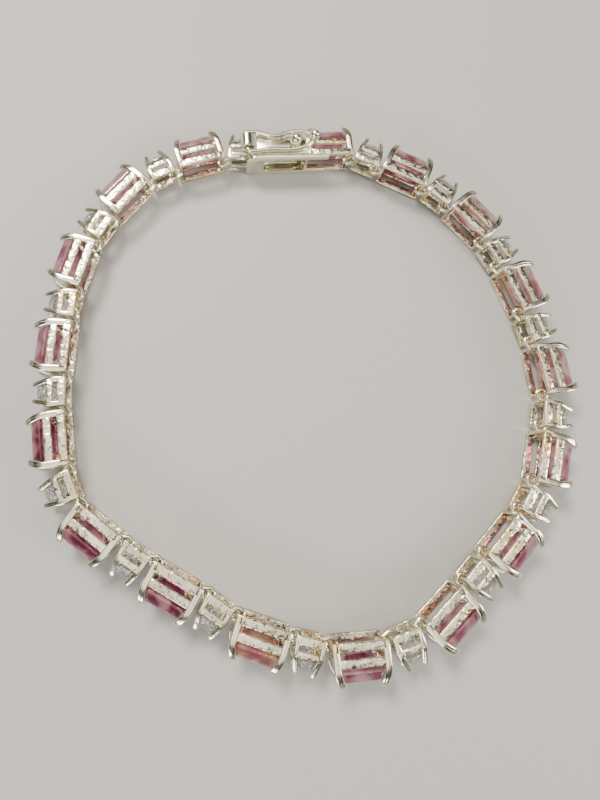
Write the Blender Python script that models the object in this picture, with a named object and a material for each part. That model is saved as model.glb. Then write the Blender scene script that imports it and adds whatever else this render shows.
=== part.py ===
"""Gemstone line bracelet: basket links with stones, closed by a box clasp with a figure-8 safety."""
import math

import bmesh
import bpy
import numpy as np
from mathutils import Matrix, Vector

MM = 0.001

# driving dimensions, mm
LARGE_LENGTH = 6.4      # large link along the bracelet
LARGE_WIDTH = 4.7       # across the bracelet
SMALL_LENGTH = 3.56     # small link along the bracelet
SMALL_WIDTH = 3.9
LINK_GAP = 0.32         # between neighbouring base frames
BAR_RADIUS = 0.25       # hinge bar at both ends of a base frame
BAR_AT = 0.32           # hinge axis, from the end of the link
HINGE_DEPTH = 0.42      # hinge axis above the inner face
EYE_WIRE = 0.21         # radius of the eye's wire
EYE_PLAY = 0.13         # clearance between eye and hinge bar
RAIL = 0.45             # thickness of the rails
BASE_TOP = 0.95         # base rail, height from the inner face
GALLERY = (1.62, 2.55)  # gallery rail, from and to
SMALL_GALLERY = (1.5, 2.15)
RAIL_END = 0.05         # rails stop short of the link's ends
PRONG = 0.82            # width of a large prong along the bracelet
SMALL_PRONG = 0.66
LARGE_TIP = 4.6         # top of a large prong
SMALL_TIP = 4.1
# prong rings above the gallery: height, lean along and across, share of the full section
LARGE_BEND = [(3.1, 0.2, 0.17, 1.0), (LARGE_TIP, 0.6, 0.55, 0.75)]
SMALL_BEND = [(2.75, 0.32, 0.45, 1.0), (SMALL_TIP, 0.5, 0.7, 0.75)]

GEM_END = 0.5           # step-cut stone, in from the ends of its link
GEM_SIDE = 0.35         # and from its sides, under the prongs
GEM_LENGTH = LARGE_LENGTH - 2 * GEM_END
GEM_WIDTH = LARGE_WIDTH - 2 * GEM_SIDE
GEM_CORNER = 0.42       # cut off each corner
GEM_GIRDLE = 2.95
GEM_CROWN = 1.05
GEM_DEPTH = 1.9
ROUND_DIAMETER = 3.1    # round stone
ROUND_GIRDLE = 2.72
ROUND_CROWN = 0.75
ROUND_DEPTH = 1.5

BOX_LENGTH = 6.6        # clasp box, between the tongue link and the first large link
BOX_DEPTH = 2.7
BOX_WALL = 0.45
CLASP_GAP = 0.3         # tongue link to box
PLATE_INNER = -0.35     # inner face of the box's back plate
PLATE_TOP = 0.25
PLATE_LIP = 1.35        # back plate past the mouth of the box
PLATE_UNDER = 3.0       # back plate under the first large link
SLOT_HALF = 1.4         # the plate's slot runs from here to its open right end
SLOT_START = 1.0        # from the mouth of the box
WIRE = 0.29             # safety latch wire radius
LATCH_RISE = 0.45       # latch wire centre above the side of the box
LATCH_REACH = 1.15      # middle of the latch's free end, past the box
BARREL = 0.95           # barrel radius on the tongue link
BARREL_BORE = 0.43
BARREL_FOOT = 1.0
BARREL_RISE = 0.05      # barrel top above the face of the box
BARREL_AT = 0.92        # barrel axis from the end of the tongue link
BALL = 0.8
BEAD = 0.75
TAB_AT = 2.0            # thumb tab, from the mouth of the box
TAB_TOP = 4.3
TAB_LENGTH = 1.9
TAB_PLAY = 0.3          # free space round the tab in its slot
PEG_X = -1.4            # ball peg and clasp stone, from the first large link
PEG_Y = 1.9
CLASP_STONE_X = -1.75
CLASP_STONE_LIFT = 0.3  # the clasp's stone sits on the box, shallower than the others
CLASP_STONE_DEPTH = 1.0
CLASP_PRONG = 0.26      # radius of its prongs
CLASP_TIP = 4.5

# the safety latch's two sides, as shares of its length and of the depth of the box
LATCH_OUTER = [(0.006, 1.17), (0.09, 1.2), (0.19, 1.15), (0.325, 0.98), (0.46, 0.965), (0.615, 1.15), (0.74, 1.2),
               (0.86, 1.165), (0.96, 1.055)]
LATCH_INNER = [(1.0, 0.91), (0.965, 0.65), (0.87, 0.39), (0.725, 0.24), (0.55, 0.205), (0.39, 0.25), (0.215, 0.205),
               (0.09, 0.15), (0.006, 0.185)]

# direction of each link, degrees, clockwise from the clasp (the clasp lies along 0)
CHAIN = [
    ("small", -24.7), ("large", -27.9), ("small", -41.4), ("large", -51.8), ("small", -65.1),
    ("large", -73.1), ("small", -78.6), ("large", -87.2), ("small", -104.9), ("large", -108.9),
    ("small", -127.4), ("large", -137.8), ("small", -138.5), ("large", -141.2), ("small", -164.3),
    ("large", -179.0), ("small", -197.1), ("large", -201.9), ("small", -215.6), ("large", -212.5),
    ("small", -215.3), ("large", -220.0), ("small", -248.6), ("large", -264.5), ("small", -268.9),
    ("large", -275.6), ("small", -276.9), ("large", -288.8), ("small", -302.4), ("large", -312.8),
    ("small", -334.0), ("large", -345.6),
]

for old in list(bpy.data.objects):
    bpy.data.objects.remove(old, do_unlink=True)
BRACELET = bpy.data.collections.new("tennis_bracelet")
bpy.context.scene.collection.children.link(BRACELET)


# mesh helpers, all in mm
def finished(bm):
    """The mesh of a closed form, faces pointing out."""
    bmesh.ops.recalc_face_normals(bm, faces=bm.faces)
    mesh = bpy.data.meshes.new("piece")
    bm.to_mesh(mesh)
    bm.free()
    return mesh


def mesh_from(points, faces):
    bm = bmesh.new()
    verts = [bm.verts.new(p) for p in points]
    for face in faces:
        bm.faces.new([verts[i] for i in face])
    return finished(bm)


def hull(points):
    bm = bmesh.new()
    for p in points:
        bm.verts.new(p)
    bmesh.ops.convex_hull(bm, input=bm.verts)
    bmesh.ops.delete(bm, geom=[v for v in bm.verts if not v.link_faces], context="VERTS")
    return finished(bm)


def block(x, y, z):
    bm = bmesh.new()
    centre = Vector((x[0] + x[1], y[0] + y[1], z[0] + z[1])) / 2
    size = Matrix.Diagonal((x[1] - x[0], y[1] - y[0], z[1] - z[0], 1))
    bmesh.ops.create_cube(bm, size=1.0, matrix=Matrix.Translation(centre) @ size)
    return finished(bm)


def ball(centre, radius, around=10, bands=5):
    bm = bmesh.new()
    bmesh.ops.create_uvsphere(bm, u_segments=around, v_segments=bands, radius=radius,
                              matrix=Matrix.Translation(centre))
    return finished(bm)


def rod(start, end, radius, sides):
    """A faceted rod; two of a hexagon's flats face along y where the rod lies along z."""
    start, end = Vector(start), Vector(end)
    turn = Vector((0, 0, 1)).rotation_difference(end - start).to_matrix().to_4x4()
    bm = bmesh.new()
    bmesh.ops.create_cone(bm, cap_ends=True, segments=sides, radius1=radius, radius2=radius,
                          depth=(end - start).length,
                          matrix=Matrix.Translation((start + end) / 2) @ turn @ Matrix.Rotation(math.pi / 2, 4, "Z"))
    return finished(bm)


def curve_mesh(curve):
    """A curve's mesh with its caps welded; the curve is removed."""
    obj = bpy.data.objects.new("curve", curve)
    bpy.context.scene.collection.objects.link(obj)
    mesh = bpy.data.meshes.new_from_object(obj.evaluated_get(bpy.context.evaluated_depsgraph_get()))
    bpy.data.objects.remove(obj, do_unlink=True)
    bpy.data.curves.remove(curve)
    bm = bmesh.new()
    bm.from_mesh(mesh)
    bpy.data.meshes.remove(mesh)
    bmesh.ops.remove_doubles(bm, verts=bm.verts, dist=0.0001)
    return finished(bm)


def wire(path, radius, closed=False, taper=None, sides=5):
    """A faceted wire along a path; `taper` gives each point's share of the radius."""
    profile = bpy.data.curves.new("profile", "CURVE")
    ring = profile.splines.new("POLY")
    ring.points.add(sides - 1)
    for k, point in enumerate(ring.points):
        a = 2 * math.pi * k / sides
        point.co = (radius * math.cos(a), radius * math.sin(a), 0, 1)
    ring.use_cyclic_u = True
    section = bpy.data.objects.new("profile", profile)
    bpy.context.scene.collection.objects.link(section)
    curve = bpy.data.curves.new("wire", "CURVE")
    curve.dimensions = "3D"
    curve.bevel_mode = "OBJECT"
    curve.bevel_object = section
    curve.use_fill_caps = True
    spline = curve.splines.new("POLY")
    spline.points.add(len(path) - 1)
    for point, co, share in zip(spline.points, path, taper or [1.0] * len(path)):
        point.co = (*co, 1)
        point.radius = share
    spline.use_cyclic_u = closed
    mesh = curve_mesh(curve)
    bpy.data.objects.remove(section, do_unlink=True)
    bpy.data.curves.remove(profile)
    return mesh


def extrude(outline, half):
    """A flat outline in (x, y), thickened to both sides of z = 0."""
    curve = bpy.data.curves.new("outline", "CURVE")
    curve.dimensions = "2D"
    curve.fill_mode = "BOTH"
    curve.extrude = half
    spline = curve.splines.new("POLY")
    spline.points.add(len(outline) - 1)
    for point, (x, y) in zip(spline.points, outline):
        point.co = (x, y, 0, 1)
    spline.use_cyclic_u = True
    return curve_mesh(curve)


def sheet(outline, y):
    """A flat outline in (x, z), between two heights."""
    mesh = extrude(outline, (y[1] - y[0]) / 2)
    mesh.transform(Matrix.Translation((0, (y[0] + y[1]) / 2, 0)) @ Matrix.Rotation(math.pi / 2, 4, "X"))
    return mesh


def stone_points(outline, table_share, girdle, crown, depth, keel):
    """Table, crown and pavilion of a cut stone; the outline is in (x, z), height along y."""
    points = []
    for x, z in outline:
        points.append((x * table_share[0], girdle + crown, z * table_share[1]))
        points.append((x, girdle, z))
    points += [(k, girdle - depth, 0.0) for k in keel]
    return hull(points)


def temp_object(mesh):
    obj = bpy.data.objects.new("temp", mesh)
    bpy.context.scene.collection.objects.link(obj)
    return obj


def combine(first, others, operation="UNION"):
    """Boolean of one mesh with each of the others, cleaned of needless edges."""
    base = temp_object(first)
    tools = [temp_object(m) for m in others]
    for tool in tools:
        mod = base.modifiers.new("join", "BOOLEAN")
        mod.operation = operation
        mod.solver = "EXACT"
        mod.object = tool
    depsgraph = bpy.context.evaluated_depsgraph_get()
    result = bpy.data.meshes.new_from_object(base.evaluated_get(depsgraph))
    for obj in [base] + tools:
        bpy.data.objects.remove(obj, do_unlink=True)
    return tidy(result)


def tidy(mesh):
    bm = bmesh.new()
    bm.from_mesh(mesh)
    bmesh.ops.remove_doubles(bm, verts=bm.verts, dist=0.0001)
    bmesh.ops.dissolve_limit(bm, angle_limit=math.radians(0.2), verts=bm.verts, edges=bm.edges)
    bmesh.ops.triangulate(bm, faces=bm.faces)
    bm.to_mesh(mesh)
    bm.free()
    return mesh


def moved(mesh, matrix):
    copy = mesh.copy()
    copy.transform(matrix)
    return copy


# materials
def make_material(name, colour, metallic, roughness):
    mat = bpy.data.materials.new(name)
    mat.use_nodes = True
    shader = mat.node_tree.nodes["Principled BSDF"]
    shader.inputs["Base Color"].default_value = colour
    shader.inputs["Metallic"].default_value = metallic
    shader.inputs["Roughness"].default_value = roughness
    mat.diffuse_color = colour
    return mat


def place(name, mesh, matrix, colour, metallic, pivot=(0, 0, 0)):
    """One named object in metres; `pivot` is its origin, in the millimetres of its own mesh."""
    mesh = moved(mesh, Matrix.Scale(MM, 4) @ Matrix.Translation(-Vector(pivot)))
    mesh.name = name
    mesh.materials.clear()
    mesh.materials.append(make_material(name + "_finish", colour, metallic, 0.15))
    obj = bpy.data.objects.new(name, mesh)
    matrix = matrix @ Matrix.Translation(pivot)
    matrix.translation = matrix.translation * MM
    obj.matrix_world = matrix
    BRACELET.objects.link(obj)
    return obj


SILVER = (0.80, 0.80, 0.78, 1.0)
ROSE = (0.78, 0.52, 0.56, 1.0)


# links
def corners(half_x, half_z):
    return [(sx * half_x, sz * half_z) for sx in (-1, 1) for sz in (-1, 1)]


def side_frame(length, width, gallery, prong_width, bend, side):
    """One long side of a basket: base rail, gallery rail and two prongs bent over the stone."""
    a, d = RAIL_END, length - RAIL_END
    xs = (a, a + prong_width, d - prong_width, d)
    ys = (0.0, BASE_TOP) + gallery
    faces_z = (side * width / 2, side * (width / 2 - RAIL))
    points, index = [], {}
    for k, z in enumerate(faces_z):
        for j, y in enumerate(ys):
            for i, x in enumerate(xs):
                index[i, j, k] = len(points)
                points.append((x, y, z))
        mid_z = side * (width - RAIL) / 2
        for j, (y, lean_x, lean_z, share) in enumerate(bend):
            for i, x in enumerate(xs):
                centre = (xs[0] + xs[1]) / 2 if i < 2 else (xs[2] + xs[3]) / 2
                inward = 1 if i < 2 else -1
                index[i, 4 + j, k] = len(points)
                points.append((centre + inward * lean_x + (x - centre) * share, y,
                               mid_z - side * lean_z + (z - mid_z) * share))
    cells = [(i, j) for j in (0, 2) for i in range(3)] + [(0, 1), (2, 1)]
    cells += [(i, 3 + j) for j in range(len(bend)) for i in (0, 2)]
    faces, edges = [], {}
    for i, j in cells:
        loop = [(i, j), (i + 1, j), (i + 1, j + 1), (i, j + 1)]
        for k in (0, 1):
            faces.append([index[p + (k,)] for p in loop])
        for p, q in zip(loop, loop[1:] + loop[:1]):
            edges[frozenset((p, q))] = edges.get(frozenset((p, q)), 0) + 1
    for edge, uses in edges.items():
        if uses == 1:
            p, q = tuple(edge)
            faces.append([index[p + (0,)], index[q + (0,)], index[q + (1,)], index[p + (1,)]])
    return mesh_from(points, faces)


def basket(length, width, gallery, prong_width, bend):
    """Two side frames and the gallery's end bars."""
    inner = width / 2 - RAIL
    parts = [side_frame(length, width, gallery, prong_width, bend, s) for s in (-1, 1)]
    for x in (RAIL_END + 0.08, length - RAIL_END - 0.08 - 0.34):
        parts.append(block((x, x + 0.34), (gallery[0] + 0.06, gallery[1] - 0.06), (-inner - 0.2, inner + 0.2)))
    return parts


def eye():
    """The loop from its own start bar round the neighbour's hinge bar and back."""
    far, near = -(LINK_GAP + BAR_AT), BAR_AT
    reach = BAR_RADIUS + EYE_PLAY + EYE_WIRE
    path = [(near, HINGE_DEPTH + 0.12, 0)]
    for deg in (75, 135, 180, 225, 285):
        a = math.radians(deg)
        path.append((far + reach * math.cos(a), HINGE_DEPTH + reach * math.sin(a), 0))
    path.append((near, HINGE_DEPTH - 0.12, 0))
    return wire(path, EYE_WIRE)


def hinge_bar(x, half_width):
    return rod((x, HINGE_DEPTH, -half_width), (x, HINGE_DEPTH, half_width), BAR_RADIUS, 6)


def large_link(with_eye=True):
    parts = basket(LARGE_LENGTH, LARGE_WIDTH, GALLERY, PRONG, LARGE_BEND)
    parts += [hinge_bar(LARGE_LENGTH - BAR_AT, (LARGE_WIDTH - RAIL) / 2)]
    if with_eye:
        parts += [hinge_bar(BAR_AT, (LARGE_WIDTH - RAIL) / 2), eye()]
    return parts


def step_stone():
    a, b, c = GEM_LENGTH / 2, GEM_WIDTH / 2, GEM_CORNER
    outline = [(a, b - c), (a - c, b), (c - a, b), (-a, b - c), (-a, c - b), (c - a, -b), (a - c, -b), (a, c - b)]
    gem = stone_points(outline, (0.74, 0.62), GEM_GIRDLE, GEM_CROWN, GEM_DEPTH, (-(a - b) * 0.9, (a - b) * 0.9))
    return moved(gem, Matrix.Translation((LARGE_LENGTH / 2, 0, 0)))


def round_stone(lift=0.0, depth=ROUND_DEPTH):
    r = ROUND_DIAMETER / 2
    outline = [(r * math.cos(math.pi * (k + 0.5) / 5), r * math.sin(math.pi * (k + 0.5) / 5)) for k in range(10)]
    return stone_points(outline, (0.58, 0.58), ROUND_GIRDLE + lift, ROUND_CROWN, depth, (0.0,))


def small_link():
    parts = basket(SMALL_LENGTH, SMALL_WIDTH, SMALL_GALLERY, SMALL_PRONG, SMALL_BEND)
    parts += [hinge_bar(x, (SMALL_WIDTH - RAIL) / 2) for x in (BAR_AT, SMALL_LENGTH - BAR_AT)]
    parts += [eye(), moved(round_stone(), Matrix.Translation((SMALL_LENGTH / 2, 0, 0)))]
    return parts


# the closed chain
def closed_headings(start, end):
    """Chosen directions, corrected as little as possible so that the chain meets the clasp."""
    lengths = np.array([(LARGE_LENGTH if kind == "large" else SMALL_LENGTH) + LINK_GAP for kind, _ in CHAIN])
    angles = np.radians([deg for _, deg in CHAIN])
    target = np.array(end) - np.array(start)
    for _ in range(20):
        miss = np.array([np.sum(lengths * np.cos(angles)), np.sum(lengths * np.sin(angles))]) - target
        jac = np.array([-lengths * np.sin(angles), lengths * np.cos(angles)])
        angles = angles - jac.T @ np.linalg.solve(jac @ jac.T, miss)
    return angles


TONGUE_X = -(BOX_LENGTH + CLASP_GAP + SMALL_LENGTH)   # start of the tongue link, clasp frame
first_pivot = (LARGE_LENGTH - BAR_AT, HINGE_DEPTH)
last_pivot = (TONGUE_X - LINK_GAP - BAR_AT, HINGE_DEPTH)
HEADINGS = closed_headings(first_pivot, last_pivot)


def link_matrices():
    """Places of the links from the clasp's right round to its left."""
    pivot = Vector((first_pivot[0], first_pivot[1], 0))
    matrices = []
    for (kind, _), angle in zip(CHAIN, HEADINGS):
        turn = Matrix.Rotation(angle, 4, "Z")
        origin = pivot - turn @ Vector((-(LINK_GAP + BAR_AT), HINGE_DEPTH, 0))
        matrices.append(Matrix.Translation(origin) @ turn)
        length = LARGE_LENGTH if kind == "large" else SMALL_LENGTH
        pivot = origin + turn @ Vector((length - BAR_AT, HINGE_DEPTH, 0))
    return matrices


# clasp
def plate():
    """Back plate with a rounded free end and a long slot, open under the first large link."""
    half, lip = LARGE_WIDTH / 2, -(BOX_LENGTH + PLATE_LIP)
    soft = 1.2
    outline = [(PLATE_UNDER, -half), (PLATE_UNDER, half)]
    outline += [(lip + soft - soft * math.sin(math.radians(a)), half - soft + soft * math.cos(math.radians(a)))
                for a in (0, 30, 60, 90)]
    outline += [(x, -z) for x, z in reversed(outline[2:])]
    body = sheet(outline, (PLATE_INNER, PLATE_TOP))
    end = -(BOX_LENGTH - SLOT_START)
    slot = [(PLATE_UNDER + 1, -SLOT_HALF), (PLATE_UNDER + 1, SLOT_HALF)]
    slot += [(end + 0.8 - 0.8 * math.sin(math.radians(a)), SLOT_HALF - 0.8 + 0.8 * math.cos(math.radians(a)))
             for a in (0, 45, 90)]
    slot += [(x, -z) for x, z in reversed(slot[2:])]
    cut = sheet(slot, (PLATE_INNER - 1, PLATE_TOP + 1))
    return combine(body, [cut], "DIFFERENCE")


def clasp_box():
    """Box, back plate, first large link, clasp stone and ball peg in one piece."""
    half, left = LARGE_WIDTH / 2, -BOX_LENGTH
    shell = block((left, 0.3), (PLATE_TOP - 0.05, BOX_DEPTH - 0.2), (-half + 0.02, half - 0.02))
    cavity = block((left - 1, -BOX_WALL), (PLATE_TOP - 1.0, BOX_DEPTH - 0.2 - BOX_WALL),
                   (-(half - BOX_WALL), half - BOX_WALL))
    tab_slot = block((left - 1, left + TAB_AT + TAB_PLAY), (BOX_DEPTH - 1, BOX_DEPTH + 1), (-0.8, 0.8))
    shell = combine(shell, [cavity, tab_slot], "DIFFERENCE")
    parts = [shell, plate()] + large_link(with_eye=False) + [step_stone()]
    parts += [moved(p, Matrix.Translation((CLASP_STONE_X, 0, 0))) for p in clasp_setting()]
    parts += [ball((PEG_X, PEG_Y, half + 0.85), BALL),
              rod((PEG_X, PEG_Y, half - 0.2), (PEG_X, PEG_Y, half + 0.5), 0.3, 6)]
    return parts


def clasp_setting():
    """Round stone with four prongs standing on the outer face of the box."""
    parts = [round_stone(CLASP_STONE_LIFT, CLASP_STONE_DEPTH)]
    reach, lean = ROUND_DIAMETER / 2, CLASP_TIP - BOX_DEPTH
    for sx, sz in corners(1, 1):
        x, z = sx * (reach - 0.1), sz * (reach - 0.05)
        path = [(x, BOX_DEPTH - 0.4, z), (x - sx * 0.08 * lean, BOX_DEPTH + 0.22 * lean, z - sz * 0.14 * lean),
                (x - sx * 0.19 * lean, CLASP_TIP, z - sz * 0.33 * lean)]
        parts.append(wire(path, CLASP_PRONG, taper=[1.0, 1.0, 0.65]))
    return parts


BARREL_X = -(BOX_LENGTH + CLASP_GAP + BARREL_AT)
TAB_X = -BOX_LENGTH + TAB_AT
LATCH_Z = LARGE_WIDTH / 2 + LATCH_RISE
BARREL_SPAN = (BARREL_FOOT, BOX_DEPTH + BARREL_RISE)
LATCH_PIVOT = (BARREL_X, sum(BARREL_SPAN) / 2, LATCH_Z)


def tongue():
    """Last small link with the spring tongue, its thumb tab and the barrel of the safety latch."""
    half, end = SMALL_WIDTH / 2, TONGUE_X + SMALL_LENGTH
    parts = [moved(p, Matrix.Translation((TONGUE_X, 0, 0)))
             for p in basket(SMALL_LENGTH, SMALL_WIDTH, SMALL_GALLERY, SMALL_PRONG, SMALL_BEND)]
    # the rails are relieved where the back plate reaches under them
    relief = block((-(BOX_LENGTH + PLATE_LIP) - 0.2, 0), (-1, PLATE_TOP + 0.2), (-3, 3))
    parts = [combine(p, [relief], "DIFFERENCE") for p in parts[:2]] + parts[2:]
    parts.append(hinge_bar(TONGUE_X + BAR_AT, half - RAIL / 2))
    parts.append(moved(eye(), Matrix.Translation((TONGUE_X, 0, 0))))
    parts.append(moved(round_stone(), Matrix.Translation((TONGUE_X + SMALL_LENGTH / 2, 0, 0))))
    # neck, two leaves folded at the far end, riser and thumb tab
    parts.append(block((end - 0.5, end - 0.05), (0.52, BASE_TOP - 0.05), (-half + 0.1, half - 0.1)))
    fold = [(end - 0.4, 0.52), (-1.0, 0.52), (-1.0, 1.55), (TAB_X, 1.55), (TAB_X, TAB_TOP),
            (TAB_X - TAB_LENGTH, TAB_TOP), (TAB_X - TAB_LENGTH, TAB_TOP - 0.35), (TAB_X - 0.35, TAB_TOP - 0.35),
            (TAB_X - 0.35, 1.25), (-1.35, 1.25), (-1.35, 0.82), (end - 0.4, 0.82)]
    parts.append(extrude(fold, 0.65))
    # saddle and barrel on the side of the link
    parts.append(block((BARREL_X - 0.35, BARREL_X + 0.35), (1.55, 2.1), (half - RAIL / 2, LATCH_Z - BARREL + 0.2)))
    tube = rod((BARREL_X, BARREL_SPAN[0], LATCH_Z), (BARREL_X, BARREL_SPAN[1], LATCH_Z), BARREL, 12)
    bore = rod((BARREL_X, BARREL_SPAN[0] - 1, LATCH_Z), (BARREL_X, BARREL_SPAN[1] + 1, LATCH_Z), BARREL_BORE, 12)
    return parts, tube, bore


def safety_latch():
    """Figure-8 wire with its pin through the barrel and a thumb bead at the free end."""
    run = LATCH_REACH - BARREL_X
    outer, inner = ([(BARREL_X + t * run, share * BOX_DEPTH) for t, share in side] for side in (LATCH_OUTER, LATCH_INNER))
    path = [(BARREL_X, BARREL_SPAN[0] - 0.1), (BARREL_X, BARREL_SPAN[1] + 0.1)] + outer + inner
    return [wire([(x, y, LATCH_Z) for x, y in path], WIRE, closed=True),
            ball((LATCH_REACH, 0.963 * BOX_DEPTH, LATCH_Z + 0.2), BEAD)]


# assembly
STAND = Matrix.Translation((0, 0, LARGE_WIDTH / 2))

large_mesh = combine(*(lambda p: (p[0], p[1:]))(large_link() + [step_stone()]))
small_mesh = combine(*(lambda p: (p[0], p[1:]))(small_link()))
box_parts = clasp_box()
box_mesh = combine(box_parts[0], box_parts[1:])
tongue_parts, tube, bore = tongue()
tongue_mesh = combine(combine(tube, tongue_parts), [bore], "DIFFERENCE")
latch_mesh = combine(*(lambda p: (p[0], p[1:]))(safety_latch()))

counts = {"large": 1, "small": 0}
nodes = []
for (kind, _), matrix in zip(CHAIN, link_matrices()):
    counts[kind] += 1
    mesh = large_mesh if kind == "large" else small_mesh
    name = "%s_link_%02d" % (kind, counts[kind])
    nodes.append(place(name, mesh, STAND @ matrix, ROSE if kind == "large" else SILVER, 0.6))
nodes.append(place("clasp_box", box_mesh, STAND, SILVER, 1.0))
nodes.append(place("clasp_tongue", tongue_mesh, STAND, SILVER, 1.0))
nodes.append(place("safety_latch", latch_mesh, STAND, SILVER, 1.0, LATCH_PIVOT))

# centre the footprint on the origin, standing on z = 0
points = np.array([obj.matrix_world @ v.co for obj in nodes for v in obj.data.vertices])
low, high = points.min(axis=0), points.max(axis=0)
shift = Vector((-(low[0] + high[0]) / 2, -(low[1] + high[1]) / 2, -low[2]))
for obj in nodes:
    obj.location += shift
print("size mm", np.round((high - low) / MM, 2), "shift", np.round(np.array(shift) / MM, 3))
print("turns", [round(math.degrees(a), 1) for a in HEADINGS])
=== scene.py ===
"""Looks of the gemstone line bracelet: polished baskets, faceted stones, clasp and safety latch."""
import math

import bmesh
import bpy
import numpy as np
from mathutils import Matrix, Vector


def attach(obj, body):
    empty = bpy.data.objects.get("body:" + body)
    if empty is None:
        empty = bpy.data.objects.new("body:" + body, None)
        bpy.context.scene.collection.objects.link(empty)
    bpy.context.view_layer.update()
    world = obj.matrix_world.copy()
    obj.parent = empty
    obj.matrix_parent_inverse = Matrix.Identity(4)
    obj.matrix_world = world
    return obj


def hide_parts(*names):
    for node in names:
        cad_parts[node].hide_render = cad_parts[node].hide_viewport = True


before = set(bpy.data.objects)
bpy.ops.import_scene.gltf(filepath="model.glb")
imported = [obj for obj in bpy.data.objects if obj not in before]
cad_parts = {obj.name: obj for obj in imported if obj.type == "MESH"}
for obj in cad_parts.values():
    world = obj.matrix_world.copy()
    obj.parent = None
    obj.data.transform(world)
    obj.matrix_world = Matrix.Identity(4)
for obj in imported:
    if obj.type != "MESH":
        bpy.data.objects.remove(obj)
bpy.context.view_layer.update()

MM = 0.001
POLE = 0.02             # share of a ball's half turn that its flat caps take
SMOOTH, CAST = 0, 1     # material numbers of a metal piece

# sizes of the links and the clasp, mm, in each link's own frame:
# x along the bracelet, y outwards, z across it
LARGE, SMALL = "large", "small"
LENGTH = {LARGE: 6.4, SMALL: 3.56}
WIDTH = {LARGE: 4.7, SMALL: 3.9}
GALLERY = {LARGE: (1.62, 2.5), SMALL: (1.5, 2.15)}
PRONG = {LARGE: 0.81, SMALL: 0.65}
RAIL = 0.45
RAIL_END = 0.05
BASE_TOP = 0.95
LINK_GAP = 0.32
BAR_AT = 0.32
BAR_RADIUS = 0.25
HINGE_DEPTH = 0.42
EYE_REACH = 0.6
EYE_WIRE = 0.235
BOX_LENGTH = 6.6
CLASP_GAP = 0.3
STAND = WIDTH[LARGE] / 2
SHIFT = (1.8146, 28.9429)       # the clasp frame's origin on the floor

# direction of each link, degrees, clockwise from the clasp, small and large in turn
HEADINGS = [
    -24.7, -27.9, -41.4, -51.8, -65.1, -73.1, -78.6, -87.2, -104.9, -108.9, -127.4, -137.8, -138.5, -141.2,
    -164.3, -179.0, -197.1, -201.9, -215.6, -212.5, -215.3, -220.0, -248.6, -264.5, -268.9, -275.6, -276.9,
    -288.8, -302.4, -312.8, -334.0, -345.6,
]


# mesh building
class Shape:
    """Points and faces in mm, with a material number for each face."""

    def __init__(self):
        self.points, self.faces, self.marks = [], [], []

    def add(self, points, faces, mark=SMOOTH):
        base = len(self.points)
        self.points += [tuple(p) for p in points]
        self.faces += [tuple(base + i for i in f) for f in faces]
        self.marks += [mark] * len(faces)

    def loft(self, rings, closed=False, mark=SMOOTH):
        """Rings of equal length, joined in turn; open lofts get flat caps."""
        n, m = len(rings[0]), len(rings)
        points = [p for ring in rings for p in ring]
        faces = []
        for i in range(m if closed else m - 1):
            j = (i + 1) % m
            for k in range(n):
                l = (k + 1) % n
                faces.append((i * n + k, i * n + l, j * n + l, j * n + k))
        if not closed:
            faces.append(tuple(range(n - 1, -1, -1)))
            faces.append(tuple((m - 1) * n + k for k in range(n)))
        self.add(points, faces, mark)

    def hull(self, points):
        """The convex solid round the points, with flat facets kept whole."""
        bm = bmesh.new()
        for p in points:
            bm.verts.new(p)
        bmesh.ops.convex_hull(bm, input=bm.verts)
        bmesh.ops.delete(bm, geom=[v for v in bm.verts if not v.link_faces], context="VERTS")
        bmesh.ops.dissolve_limit(bm, angle_limit=math.radians(0.5), verts=bm.verts, edges=bm.edges)
        bm.verts.index_update()
        self.add([v.co[:] for v in bm.verts], [[v.index for v in f.verts] for f in bm.faces])
        bm.free()

    def merge(self, other, matrix=Matrix()):
        base = len(self.points)
        self.points += [tuple(matrix @ Vector(p)) for p in other.points]
        self.faces += [tuple(base + i for i in f) for f in other.faces]
        self.marks += other.marks

    def mesh(self, name, materials, matrix=Matrix(), smooth_below=38):
        bm = bmesh.new()
        verts = [bm.verts.new((matrix @ Vector(p)) * MM) for p in self.points]
        for face, mark in zip(self.faces, self.marks):
            f = bm.faces.new([verts[i] for i in face])
            f.material_index = mark
            f.smooth = smooth_below > 0
        bmesh.ops.recalc_face_normals(bm, faces=bm.faces)
        mesh = bpy.data.meshes.new(name)
        bm.to_mesh(mesh)
        bm.free()
        for mat in materials:
            mesh.materials.append(mat)
        if smooth_below > 0:
            mesh.set_sharp_from_angle(angle=math.radians(smooth_below))
        return mesh


def rounded_rect(w, h, r, steps=3):
    """Outline of a w by h rectangle with round corners, as (across, up) pairs."""
    r = min(r, w / 2 - 1e-4, h / 2 - 1e-4)
    out = []
    for cx, cy, start in ((w / 2 - r, h / 2 - r, 0), (r - w / 2, h / 2 - r, 90),
                          (r - w / 2, r - h / 2, 180), (w / 2 - r, r - h / 2, 270)):
        for k in range(steps + 1):
            a = math.radians(start + 90 * k / steps)
            out.append((cx + r * math.cos(a), cy + r * math.sin(a)))
    return out


def rounded_box(shape, x, y, z, r, steps=3):
    """A box with soft edges, between the given limits."""
    w, h = y[1] - y[0], z[1] - z[0]
    cy, cz = (y[0] + y[1]) / 2, (z[0] + z[1]) / 2
    rings = []
    for k in range(steps + 1):
        a = math.pi / 2 * k / steps
        inset = r * (1 - math.sin(a))
        rings.append((x[0] + r * (1 - math.cos(a)), inset))
    rings += [(x[0] + x[1] - px, inset) for px, inset in reversed(rings)]
    loft = []
    for px, inset in rings:
        outline = rounded_rect(w - 2 * inset, h - 2 * inset, max(r - inset, 0.02) + 0.001)
        loft.append([(px, cy + a, cz + b) for a, b in outline])
    shape.loft(loft)


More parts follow.
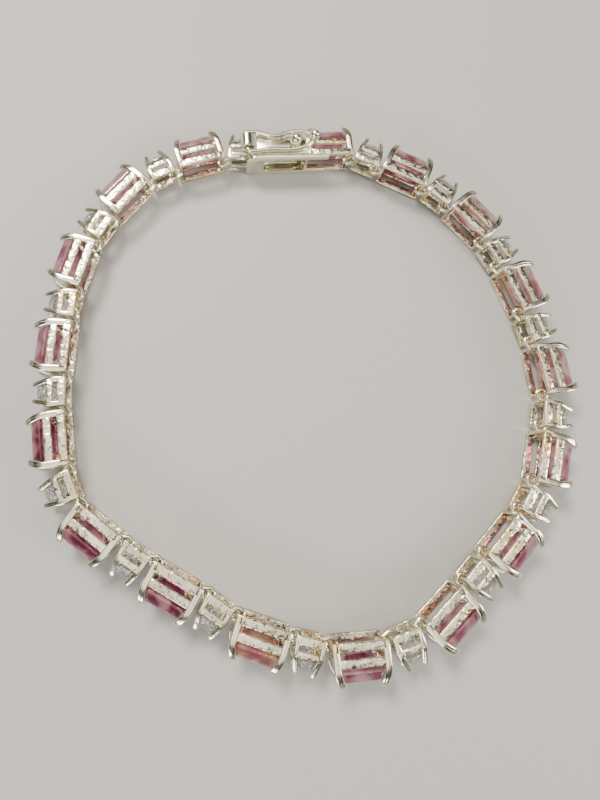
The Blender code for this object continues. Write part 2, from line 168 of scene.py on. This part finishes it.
def tube(shape, path, radii, sides=12, closed=False):
    """A round wire along a path of 3-D points; a closed path lies in a plane."""
    pts = [Vector(p) for p in path]
    n = len(pts)
    if isinstance(radii, (int, float)):
        radii = [radii] * n
    rings, side = [], None
    for i, p in enumerate(pts):
        before = pts[i - 1] if closed or i else p
        after = pts[(i + 1) % n] if closed or i < n - 1 else p
        t = (after - before).normalized()
        if side is None:
            side = t.orthogonal().normalized()
        side = (side - t * side.dot(t)).normalized()
        lift = t.cross(side)
        rings.append([p + (side * math.cos(a) + lift * math.sin(a)) * radii[i]
                      for a in (2 * math.pi * k / sides for k in range(sides))])
    shape.loft(rings, closed=closed)


def smooth_path(points, steps=6, closed=False):
    """Catmull-Rom curve through the points."""
    pts = [Vector(p) for p in points]
    n = len(pts)
    out = []
    for i in range(n if closed else n - 1):
        p0 = pts[i - 1] if closed or i else pts[0]
        p1, p2 = pts[i], pts[(i + 1) % n]
        p3 = pts[(i + 2) % n] if closed or i + 2 < n else pts[-1]
        for k in range(steps):
            t = k / steps
            out.append(0.5 * ((2 * p1) + (p2 - p0) * t + (2 * p0 - 5 * p1 + 4 * p2 - p3) * t * t
                              + (3 * p1 - p0 - 3 * p2 + p3) * t ** 3))
    if not closed:
        out.append(pts[-1])
    return out


def ball(shape, centre, radius, around=20, bands=12):
    """A sphere in bands, with small flat caps at its poles."""
    c = Vector(centre)
    rings = []
    for b in range(bands + 1):
        lat = math.pi * (POLE + (1 - 2 * POLE) * b / bands)
        ring = []
        for k in range(around):
            a = 2 * math.pi * k / around
            out = Vector((math.sin(lat) * math.cos(a), math.sin(lat) * math.sin(a), math.cos(lat)))
            ring.append(c + out * radius)
        rings.append(ring)
    shape.loft(rings)


# baskets
def frame_ring(shape, x, half_z, thick, heights, corner, edge, end_heights=None, mark=SMOOTH):
    """A rectangular ring with round corners; the ends may have another height than the sides."""
    x0, x1 = x[0] + thick / 2, x[1] - thick / 2
    z = half_z - thick / 2
    r = max(corner - thick / 2, 0.08)
    rings = []
    corners = [(x1 - r, z - r, 0), (x0 + r, z - r, 90), (x0 + r, r - z, 180), (x1 - r, r - z, 270)]
    for cx, cz, start in corners:
        for k in range(6):
            a = math.radians(start + 90 * k / 5)
            nx, nz = math.cos(a), math.sin(a)
            low, high = heights
            if end_heights:
                share = min(1.0, max(0.0, abs(nx) * 1.6 - 0.6))
                low += (end_heights[0] - low) * share
                high += (end_heights[1] - high) * share
            mid = (low + high) / 2
            outline = rounded_rect(thick, high - low, edge)
            rings.append([(cx + nx * (r + u), mid + v, cz + nz * (r + u)) for u, v in outline])
    shape.loft(rings, closed=True, mark=mark)


def grooved_rect(w, h, r, groove):
    """Section of a prong: round corners, and a fine groove down its outer and inner faces."""
    outline = rounded_rect(w, h, r, 3)
    half, deep = groove * 1.1, h / 2 - groove
    notch = [(half, h / 2), (0.0, deep), (-half, h / 2)]
    return outline[:4] + notch + outline[4:12] + [(-u, -v) for u, v in notch] + outline[12:]


def claw(shape, sx, sz, centre_x, centre_z, width, depth, path):
    """One prong: from the base rail up the corner and over the stone, with a domed tip."""
    rings = []
    for y, lean_x, lean_z, share, tilt in path:
        outline = grooved_rect(width * share, depth * share, CLAW_EDGE * share, CLAW_GROOVE * share)
        x, z = centre_x - sx * lean_x, centre_z - sz * lean_z
        # the section tips over with the bend: its inner side sits lower than its outer side
        rings.append([(x + u, y + tilt * (0.35 * sx * u + 0.7 * sz * v), z + v) for u, v in outline])
    shape.loft(rings)


CLAW_EDGE = 0.17
CLAW_GROOVE = 0.055
# rings of a prong from its foot up: height, lean along and across, share of its width, tilt
CLAW = {
    LARGE: [(0.06, 0, 0, 0.88, 0), (0.16, 0, 0, 1, 0), (1.3, 0, 0, 1, 0), (2.5, 0, 0, 1, 0),
            (2.85, 0.03, 0.03, 1, 0.1), (3.25, 0.12, 0.10, 1, 0.3), (3.6, 0.24, 0.21, 1, 0.45),
            (3.9, 0.37, 0.34, 0.98, 0.6),
            (4.12, 0.48, 0.46, 0.93, 0.75), (4.28, 0.57, 0.55, 0.83, 0.85), (4.4, 0.64, 0.62, 0.66, 0.95),
            (4.46, 0.68, 0.66, 0.42, 1)],
    SMALL: [(0.06, 0, 0, 0.88, 0), (0.16, 0, 0, 1, 0), (1.2, 0, 0, 1, 0), (2.1, 0.06, 0.08, 1, 0.1),
            (2.5, 0.16, 0.2, 1, 0.3), (2.85, 0.26, 0.34, 1, 0.45), (3.2, 0.35, 0.47, 0.98, 0.6),
            (3.5, 0.43, 0.58, 0.93, 0.75), (3.7, 0.49, 0.65, 0.83, 0.85), (3.84, 0.54, 0.7, 0.66, 0.95),
            (3.91, 0.57, 0.73, 0.42, 1)],
}


def basket(kind, with_eye=True, base=True):
    """Metal of one link: base frame, gallery frame, four claws, and the eye round the neighbour's bar."""
    s = Shape()
    length, half = LENGTH[kind], WIDTH[kind] / 2
    ends = (HINGE_DEPTH - BAR_RADIUS, HINGE_DEPTH + BAR_RADIUS)
    if base:
        frame_ring(s, (RAIL_END, length - RAIL_END), half, RAIL, (0.0, BASE_TOP), 0.5, 0.12, ends, CAST)
    g = GALLERY[kind]
    frame_ring(s, (RAIL_END + 0.07, length - RAIL_END - 0.07), half - 0.05, 0.38, g, 0.45, 0.1, None, CAST)
    cx = RAIL_END + PRONG[kind] / 2
    for sx, x in ((-1, cx), (1, length - cx)):
        for sz in (-1, 1):
            claw(s, sx, sz, x, sz * (half - RAIL / 2), PRONG[kind], RAIL, CLAW[kind])
    if with_eye:
        eye(s)
    return s


def eye(shape):
    """The wire that runs from this link's first bar round the last bar of the link before it."""
    far, near = -(LINK_GAP + BAR_AT), BAR_AT
    points = [(near, HINGE_DEPTH + 0.1)]
    points += [(far + EYE_REACH * math.cos(a), HINGE_DEPTH + EYE_REACH * math.sin(a))
               for a in (math.radians(75 + 210 * k / 8) for k in range(9))]
    points += [(near, HINGE_DEPTH - 0.1)]
    tube(shape, smooth_path([(x, y, 0) for x, y in points], 3), EYE_WIRE, 10)


# stones
def octagon(a, b, c):
    """Outline of a rectangle of half sizes a and b with corners cut off by c."""
    half = [(a, b - c), (a - c, b), (c - a, b), (-a, b - c)]
    return half + [(-x, -y) for x, y in half]


def step_cut(half_length=2.7, half_width=2.0, corner=0.6, girdle=2.95):
    """Emerald cut: table, three crown steps, girdle and three pavilion steps to a keel."""
    s = Shape()
    # inset from the girdle's outline, and height over it
    steps = [(1.62, -1.85), (1.2, -1.4), (0.6, -0.75), (0.0, -0.07),
             (0.0, 0.08), (0.2, 0.45), (0.42, 0.78), (0.68, 1.04)]
    rings = []
    for inset, y in steps:
        cut = max(0.03, corner - 0.586 * inset)
        rings.append([(x, girdle + y, z) for x, z in octagon(half_length - inset, half_width - inset, cut)])
    s.loft(rings)
    return s


def brilliant(diameter=3.06, girdle=2.72, crown=0.75, depth=1.5):
    """Round brilliant: table, star and kite facets, girdle, pavilion mains."""
    s = Shape()
    r = diameter / 2
    points = []
    for k in range(8):
        a = math.radians(45 * k)
        b = math.radians(45 * k + 22.5)
        points.append((r * 0.56 * math.cos(a), girdle + crown, r * 0.56 * math.sin(a)))
        points.append((r * 0.80 * math.cos(b), girdle + crown * 0.66, r * 0.80 * math.sin(b)))
        points.append((r * 0.30 * math.cos(b), girdle - depth * 0.82, r * 0.30 * math.sin(b)))
    for k in range(16):
        a = math.radians(22.5 * k + 11.25)
        for y in (0.04, -0.04):
            points.append((r * math.cos(a), girdle + y, r * math.sin(a)))
    points.append((0, girdle - depth, 0))
    s.hull(points)
    return s


# clasp, in the frame of the first large link: the box lies at x < 0
TONGUE_X = -(BOX_LENGTH + CLASP_GAP + LENGTH[SMALL])
BARREL_X = -(BOX_LENGTH + CLASP_GAP + 0.92)
LATCH_Z = WIDTH[LARGE] / 2 + 0.45
TAB_X = -BOX_LENGTH + 2.0
TAB_TOP = 4.3
PEG_X, PEG_Y = -1.4, 1.9
CLASP_STONE_X = -1.75
SLOT_HALF = 1.4
PLATE_END = 2.9
BOX_WALL = 0.43
BOX_TOP = 2.5
LID_UNDER = 2.07
LEAF_HALF = 0.65
LATCH_WIRE = 0.28
CLASP_CLAW = [(2.3, 0, 0, 1, 0), (2.8, 0.03, 0.05, 1, 0), (3.2, 0.08, 0.15, 1, 0.2),
              (3.6, 0.16, 0.28, 1, 0.4), (3.95, 0.28, 0.42, 0.94, 0.6), (4.2, 0.4, 0.55, 0.82, 0.8),
              (4.34, 0.5, 0.64, 0.6, 1), (4.39, 0.55, 0.69, 0.3, 1)]


def flat_plate(shape, outline, y, bevel=0.05):
    """A plate in the (x, z) plane with softened edges, from one height to another."""
    curve = bpy.data.curves.new("outline", "CURVE")
    curve.dimensions = "2D"
    curve.fill_mode = "BOTH"
    curve.extrude = (y[1] - y[0]) / 2 - bevel
    curve.bevel_depth = bevel
    curve.bevel_resolution = 2
    spline = curve.splines.new("POLY")
    spline.points.add(len(outline) - 1)
    for point, (x, z) in zip(spline.points, outline):
        point.co = (x, z, 0, 1)
    spline.use_cyclic_u = True
    obj = bpy.data.objects.new("outline", curve)
    bpy.context.scene.collection.objects.link(obj)
    mesh = bpy.data.meshes.new_from_object(obj.evaluated_get(bpy.context.evaluated_depsgraph_get()))
    bm = bmesh.new()
    bm.from_mesh(mesh)
    bmesh.ops.remove_doubles(bm, verts=bm.verts, dist=0.0005)
    bm.verts.index_update()
    mid = (y[0] + y[1]) / 2
    shape.add([(v.co.x, mid + v.co.z, v.co.y) for v in bm.verts],
              [[v.index for v in f.verts] for f in bm.faces])
    bm.free()
    bpy.data.objects.remove(obj, do_unlink=True)
    bpy.data.meshes.remove(mesh)


def slot_outline(x0, x1, half, r, steps=8):
    """A rectangle with round corners at its left end and square ones at its right."""
    pts = [(x1, -half), (x1, half)]
    pts += [(x0 + r - r * math.sin(a), half - r + r * math.cos(a))
            for a in (math.radians(90 * k / steps) for k in range(steps + 1))]
    return pts + [(x, -z) for x, z in reversed(pts[2:])]


def turned(shape, profile, x, z, around=28):
    """A closed profile of (radius, height) pairs turned about an axis along y."""
    rings = []
    for k in range(around):
        a = 2 * math.pi * k / around
        rings.append([(x + r * math.cos(a), y, z + r * math.sin(a)) for r, y in profile])
    shape.loft(rings, closed=True)


def clasp_box_metal():
    """Back plate, walls and lid of the box, the first basket, the outer stone's setting and the peg."""
    s = Shape()
    left, half = -BOX_LENGTH, WIDTH[LARGE] / 2 - 0.02
    plate = slot_outline(-(BOX_LENGTH + 1.29), PLATE_END, half - 0.04, 1.15)
    slot = slot_outline(left + 0.96, PLATE_END, SLOT_HALF + 0.05, 0.85)
    # the slot is open at its right end, under the first large link
    flat_plate(s, plate[1:] + [plate[0], slot[0]] + slot[:1:-1] + [slot[1]], (-0.35, 0.25))
    for sz in (-1, 1):
        z = sorted((sz * half, sz * (half - BOX_WALL)))
        rounded_box(s, (left, 0.25), (0.18, BOX_TOP), z, 0.09)
        z = sorted((sz * (half - 0.02), sz * 0.8))
        rounded_box(s, (left, left + 2.3), (LID_UNDER, BOX_TOP), z, 0.07)
    rounded_box(s, (left + 2.2, 0.25), (LID_UNDER, BOX_TOP - 0.01), (-half + 0.02, half - 0.02), 0.07)
    rounded_box(s, (-0.25, 0.22), (0.95, 2.45), (-half + 0.05, half - 0.05), 0.07)
    s.merge(basket(LARGE, with_eye=False))
    for sx in (-1, 1):
        for sz in (-1, 1):
            claw(s, sx, sz, CLASP_STONE_X + sx * 1.45, sz * 1.5, 0.5, 0.46, CLASP_CLAW)
    turned(s, [(1.0, 2.45), (1.5, 2.45), (1.52, 2.75), (1.4, 3.0), (1.2, 3.0)], CLASP_STONE_X, 0)
    tube(s, [(PEG_X, PEG_Y, half + rise) for rise in (-0.2, 0.2, 0.6)], [0.34, 0.28, 0.26])
    ball(s, (PEG_X, PEG_Y, half + 0.87), 0.79)
    return s


def tongue_metal():
    """The last small basket with its bar, the folded spring tongue, its tab and the latch's barrel."""
    s = Shape()
    length, half = LENGTH[SMALL], WIDTH[SMALL] / 2
    end = TONGUE_X + length
    at = Matrix.Translation((TONGUE_X, 0, 0))
    s.merge(basket(SMALL, base=False), at)
    frame_ring(s, (TONGUE_X + RAIL_END, end - RAIL_END), half, RAIL, (0.47, BASE_TOP), 0.45, 0.1)
    for sz in (-1, 1):
        rounded_box(s, (TONGUE_X + RAIL_END, TONGUE_X + 1.6), (0.0, BASE_TOP - 0.03),
                    sorted((sz * (half - 0.01), sz * (half - RAIL + 0.01))), 0.1)
    tube(s, [(TONGUE_X + BAR_AT, HINGE_DEPTH, z) for z in (-half + 0.2, 0, half - 0.2)], BAR_RADIUS)
    rounded_box(s, (end - 0.5, end + 0.05), (0.5, 0.93), (-half + 0.12, half - 0.12), 0.06)
    # folded spring tongue: lower leaf, bend, upper leaf, riser and thumb tab
    rounded_box(s, (end - 0.3, -1.2), (0.52, 0.82), (-LEAF_HALF, LEAF_HALF), 0.07)
    for sz in (-1, 1):
        rounded_box(s, (BARREL_X + 2.6, -1.0), (0.38, 0.6), sorted((sz * 0.1, sz * 0.62)), 0.08)
    rings = []
    for i in range(13):
        a = math.radians(15 * i)
        nx, ny = math.sin(a), -math.cos(a)
        x, y = -1.2 + 0.36 * math.sin(a), 1.035 - 0.36 * math.cos(a)
        rings.append([(x + nx * u, y + ny * u, v) for u, v in rounded_rect(0.29, 2 * LEAF_HALF, 0.06)])
    s.loft(rings)
    rounded_box(s, (TAB_X - 0.3, -1.2), (1.25, 1.54), (-LEAF_HALF, LEAF_HALF), 0.07)
    rounded_box(s, (TAB_X - 0.35, TAB_X), (1.25, TAB_TOP - 0.06), (-0.62, 0.62), 0.07)
    rounded_box(s, (TAB_X - 1.9, TAB_X + 0.02), (TAB_TOP - 0.35, TAB_TOP - 0.01),
                (-LEAF_HALF, LEAF_HALF), 0.14)
    # barrel of the safety latch on its saddle
    rounded_box(s, (BARREL_X - 0.35, BARREL_X + 0.35), (1.55, 2.1), (half - 0.3, LATCH_Z - 0.55), 0.08)
    turned(s, [(0.43, 1.01), (0.84, 1.01), (0.93, 1.1), (0.93, 2.65), (0.84, 2.74), (0.43, 2.74)],
           BARREL_X, LATCH_Z)
    return s


def latch_metal():
    """The safety latch: a figure-8 loop of wire with a bead to lift it by."""
    s = Shape()
    x0 = BARREL_X
    path = [(x0, 0.9), (x0, 1.9), (x0, 2.85), (x0 + 0.1, 3.17), (-7.0, 3.27), (-6.1, 3.1), (-4.9, 2.68),
            (-3.7, 2.62), (-2.3, 3.08), (-1.2, 3.24), (-0.1, 3.13), (0.8, 2.83), (1.12, 2.4), (0.8, 1.75),
            (0.0, 1.1), (-1.3, 0.67), (-2.9, 0.56), (-4.3, 0.67), (-5.9, 0.55), (-7.0, 0.41), (x0 + 0.1, 0.5)]
    tube(s, smooth_path([(x, y, LATCH_Z) for x, y in path], 5, closed=True), LATCH_WIRE, 14, closed=True)
    ball(s, (1.15, 2.6, LATCH_Z + 0.2), 0.74)
    return s


# materials
def new_material(name):
    mat = bpy.data.materials.new(name)
    mat.use_nodes = True
    tree = mat.node_tree
    return mat, tree, tree.nodes["Principled BSDF"]


def noise(tree, scale, detail, low=None, high=None, colours=None):
    """Solid noise in object space, as a value or through a two-colour ramp."""
    coord = tree.nodes.new("ShaderNodeTexCoord")
    cloud = tree.nodes.new("ShaderNodeTexNoise")
    cloud.inputs["Scale"].default_value = scale
    cloud.inputs["Detail"].default_value = detail
    tree.links.new(coord.outputs["Object"], cloud.inputs["Vector"])
    if colours is None:
        return cloud.outputs["Fac"]
    ramp = tree.nodes.new("ShaderNodeValToRGB")
    ramp.color_ramp.elements[0].position, ramp.color_ramp.elements[1].position = low, high
    ramp.color_ramp.elements[0].color, ramp.color_ramp.elements[1].color = colours
    tree.links.new(cloud.outputs["Fac"], ramp.inputs["Fac"])
    return ramp.outputs["Color"]


def mixed(tree, factor, colour, other):
    """A colour that goes over to another one by a factor."""
    mix = tree.nodes.new("ShaderNodeMix")
    mix.data_type = "RGBA"
    tree.links.new(factor, mix.inputs["Factor"])
    tree.links.new(colour, mix.inputs["A"])
    mix.inputs["B"].default_value = other
    return mix.outputs["Result"]


def grey(value):
    return (value, value, value, 1)


# painted warm reflection: the golden colour of reflected warm lamplight, laid into the metal's colour
PAINTED_WARM_REFLECTION = (0.87, 0.62, 0.28, 1)
SPECK = (0.16, 0.13, 0.10, 1)


def metal_material(name, bright, dull, rough, grain, speckle=0.0, warm=0.0):
    """White plated metal with fine wear; grain is the bump's strength, scale and depth in metres.

    speckle and warm say how far dark specks and the painted warm reflection show in their patches.
    """
    mat, tree, shader = new_material(name)
    nodes, links = tree.nodes, tree.links
    shader.inputs["Metallic"].default_value = 1.0
    colour = noise(tree, 420, 4, 0.36, 0.62, (dull, bright))
    if warm:
        # noise patches of painted warm reflection turn the metal golden
        colour = mixed(tree, noise(tree, 230, 3, 0.52, 0.66, (grey(0), grey(warm))), colour, PAINTED_WARM_REFLECTION)
    if speckle:
        colour = mixed(tree, noise(tree, 2400, 3, 0.60, 0.68, (grey(0), grey(speckle))), colour, SPECK)
    links.new(colour, shader.inputs["Base Color"])
    spread = nodes.new("ShaderNodeMapRange")
    spread.inputs["To Min"].default_value, spread.inputs["To Max"].default_value = rough
    links.new(noise(tree, 2600, 3), spread.inputs["Value"])
    links.new(spread.outputs["Result"], shader.inputs["Roughness"])
    strength, scale, depth = grain
    bump = nodes.new("ShaderNodeBump")
    bump.inputs["Strength"].default_value = strength
    bump.inputs["Distance"].default_value = depth
    links.new(noise(tree, scale, 2), bump.inputs["Height"])
    links.new(bump.outputs["Normal"], shader.inputs["Normal"])
    return mat


def gem_material(name, deep, pale, transmission, ior, rough=0.02):
    """Cut stone: clear body colour with paler zones inside."""
    mat, tree, shader = new_material(name)
    shader.inputs["Roughness"].default_value = rough
    shader.inputs["IOR"].default_value = ior
    shader.inputs["Transmission Weight"].default_value = transmission
    tree.links.new(noise(tree, 520, 2, 0.42, 0.60, (deep, pale)), shader.inputs["Base Color"])
    return mat


METAL = [
    metal_material("polished_plate", (0.96, 0.92, 0.74, 1), (0.80, 0.76, 0.58, 1),
                   rough=(0.1, 0.22), grain=(0.35, 900, 0.00007)),
    # the cast plate carries the painted warm reflection in its patches
    metal_material("cast_plate", (0.95, 0.90, 0.70, 1), (0.52, 0.47, 0.34, 1),
                   rough=(0.12, 0.3), grain=(0.9, 1300, 0.00018), speckle=0.9, warm=0.8),
]
ROSE = [gem_material("rose_stone_" + name, deep, pale, transmission=0.8, ior=1.62) for name, deep, pale in (
    ("light", (0.48, 0.13, 0.22, 1), (0.98, 0.72, 0.73, 1)),
    ("mid", (0.34, 0.06, 0.14, 1), (0.94, 0.57, 0.63, 1)),
    ("deep", (0.22, 0.02, 0.07, 1), (0.86, 0.38, 0.47, 1)),
    ("amber", (0.52, 0.14, 0.18, 1), (0.96, 0.66, 0.42, 1)))]
CLEAR = gem_material("clear_stone", (0.74, 0.77, 0.76, 1), (0.98, 0.98, 0.96, 1),
                     transmission=0.9, ior=1.76, rough=0.0)


# assembly
def link_matrices():
    """Places of the links, from the clasp's right round to its left.

    The headings are corrected as little as possible, so that the chain meets the clasp.
    """
    kinds = [(SMALL, LARGE)[i % 2] for i in range(len(HEADINGS))]
    angles = np.radians(HEADINGS)
    lengths = np.array([LENGTH[k] + LINK_GAP for k in kinds])
    start = np.array([LENGTH[LARGE] - BAR_AT, HINGE_DEPTH])
    end = np.array([TONGUE_X - LINK_GAP - BAR_AT, HINGE_DEPTH])
    for _ in range(20):
        miss = np.array([np.sum(lengths * np.cos(angles)), np.sum(lengths * np.sin(angles))]) - (end - start)
        slope = np.array([-lengths * np.sin(angles), lengths * np.cos(angles)])
        angles = angles - slope.T @ np.linalg.solve(slope @ slope.T, miss)
    pivot, out = Vector((start[0], start[1], 0)), []
    for kind, angle in zip(kinds, angles):
        turn = Matrix.Rotation(angle, 4, "Z")
        origin = pivot - turn @ Vector((-(LINK_GAP + BAR_AT), HINGE_DEPTH, 0))
        out.append((kind, Matrix.Translation(origin) @ turn))
        pivot = origin + turn @ Vector((LENGTH[kind] - BAR_AT, HINGE_DEPTH, 0))
    return out


PLACE = Matrix.Translation((SHIFT[0], SHIFT[1], STAND))


def piece(name, shape, materials, matrix, body, node, smooth_below=38):
    """A visible piece that rides a body and takes the place of a CAD node."""
    obj = bpy.data.objects.new(name, shape.mesh(name, materials, PLACE @ matrix, smooth_below))
    bpy.context.scene.collection.objects.link(obj)
    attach(obj, body)
    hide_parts(node)
    return obj


metals = {kind: basket(kind) for kind in (LARGE, SMALL)}
large_stone, small_stone = step_cut(), brilliant()
mid = {kind: Matrix.Translation((LENGTH[kind] / 2, 0, 0)) for kind in (LARGE, SMALL)}
# body colour of each step-cut stone round the loop
TINT = [0, 1, 0, 0, 0, 1, 1, 1, 1, 3, 2, 2, 2, 1, 1, 0, 0]
number = {LARGE: 1, SMALL: 0}
for kind, matrix in link_matrices():
    number[kind] += 1
    n = number[kind]
    node = "%s_link_%02d" % (kind, n)
    piece("%s_basket_%02d" % (kind, n), metals[kind], METAL, matrix, "bracelet", node)
    stone = large_stone if kind == LARGE else small_stone
    piece("%s_stone_%02d" % (kind, n), stone, [ROSE[TINT[n - 1]] if kind == LARGE else CLEAR],
          matrix @ mid[kind], "bracelet", node, 0)
HOME = Matrix()
piece("clasp_box_metal", clasp_box_metal(), METAL, HOME, "bracelet", "clasp_box")
piece("large_stone_01", large_stone, [ROSE[TINT[0]]], mid[LARGE], "bracelet", "clasp_box", 0)
piece("clasp_stone", brilliant(girdle=3.02, depth=1.0), [CLEAR], Matrix.Translation((CLASP_STONE_X, 0, 0)),
      "bracelet", "clasp_box", 0)
piece("tongue_metal", tongue_metal(), METAL, HOME, "bracelet", "clasp_tongue")
piece("small_stone_17", small_stone, [CLEAR], Matrix.Translation((TONGUE_X + LENGTH[SMALL] / 2, 0, 0)),
      "bracelet", "clasp_tongue", 0)
piece("safety_latch_wire", latch_metal(), METAL, HOME, "latch", "safety_latch")

# floor, light and camera
FLOOR_HALF = 3.0
FLOOR_DROP = 0.00002        # keeps the floor's face off the bracelet's lower edge
floor_mesh = bpy.data.meshes.new("floor")
floor_mesh.from_pydata([(x * FLOOR_HALF, y * FLOOR_HALF, 0) for x, y in ((-1, -1), (1, -1), (1, 1), (-1, 1))],
                       [], [(0, 1, 2, 3)])
floor = bpy.data.objects.new("floor", floor_mesh)
floor.location.z = -FLOOR_DROP
bpy.context.scene.collection.objects.link(floor)
floor_mat, _, floor_shader = new_material("floor_paper")
floor_shader.inputs["Base Color"].default_value = (0.42, 0.41, 0.395, 1)
floor_shader.inputs["Roughness"].default_value = 0.6
floor_mesh.materials.append(floor_mat)


def softbox(name, place, size, power, colour):
    """A rectangular lamp that points at the bracelet's middle."""
    light = bpy.data.lights.new(name, "AREA")
    light.shape = "RECTANGLE"
    light.size, light.size_y = size
    light.energy = power
    light.color = colour
    obj = bpy.data.objects.new(name, light)
    obj.location = place
    obj.rotation_euler = (-Vector(place)).to_track_quat("-Z", "Y").to_euler()
    bpy.context.scene.collection.objects.link(obj)


softbox("key", (-0.12, 0.22, 0.34), (0.14, 0.10), 2.6, (1.0, 0.95, 0.87))
softbox("side", (0.34, -0.1, 0.22), (0.10, 0.20), 1.2, (1.0, 0.93, 0.84))
softbox("front", (-0.18, -0.34, 0.2), (0.2, 0.08), 0.9, (0.96, 0.97, 1.0))

world = bpy.data.worlds.new("studio")
bpy.context.scene.world = world
world.use_nodes = True
tree = world.node_tree
coord = tree.nodes.new("ShaderNodeTexCoord")
split = tree.nodes.new("ShaderNodeSeparateXYZ")
ramp = tree.nodes.new("ShaderNodeValToRGB")
ramp.color_ramp.elements[0].position, ramp.color_ramp.elements[0].color = 0.0, (0.34, 0.33, 0.32, 1)
ramp.color_ramp.elements[1].position, ramp.color_ramp.elements[1].color = 0.97, (1.0, 0.96, 0.88, 1)
# dark and light bands of the studio between the horizon and the ceiling, for the metal to reflect
for position, value in ((0.16, 0.30), (0.3, 0.04), (0.42, 0.25), (0.54, 0.02), (0.74, 0.02), (0.82, 0.12),
                        (0.90, 0.9)):
    element = ramp.color_ramp.elements.new(position)
    element.color = (value, value * 0.97, value * 0.9, 1)
tree.links.new(coord.outputs["Generated"], split.inputs["Vector"])
tree.links.new(split.outputs["Z"], ramp.inputs["Fac"])
tree.links.new(ramp.outputs["Color"], tree.nodes["Background"].inputs["Color"])
tree.nodes["Background"].inputs["Strength"].default_value = 1.9

# fitted to the photograph: lengths in its pixels, the camera's place in mm, its turn as an axis and angle
IMAGE_WIDTH = 600
FOCAL_LENGTH = 599.95
IMAGE_SHIFT = (40.72, -102.55)
CAMERA_PLACE = Vector((-11.634, -10.549, 75.140))
CAMERA_TURN = Vector((-0.2792, 0.0752, 0.049))
camera = bpy.data.cameras.new("camera")
camera.sensor_fit = "HORIZONTAL"
camera.sensor_width = 36
camera.lens = FOCAL_LENGTH * camera.sensor_width / IMAGE_WIDTH
camera.shift_x = IMAGE_SHIFT[0] / IMAGE_WIDTH
camera.shift_y = IMAGE_SHIFT[1] / IMAGE_WIDTH
camera.clip_start, camera.clip_end = 0.001, 20
camera_object = bpy.data.objects.new("camera", camera)
camera_object.matrix_world = (Matrix.Translation(CAMERA_PLACE * MM)
                              @ Matrix.Rotation(-CAMERA_TURN.length, 4, CAMERA_TURN.normalized()))
bpy.context.scene.collection.objects.link(camera_object)
bpy.context.scene.camera = camera_object
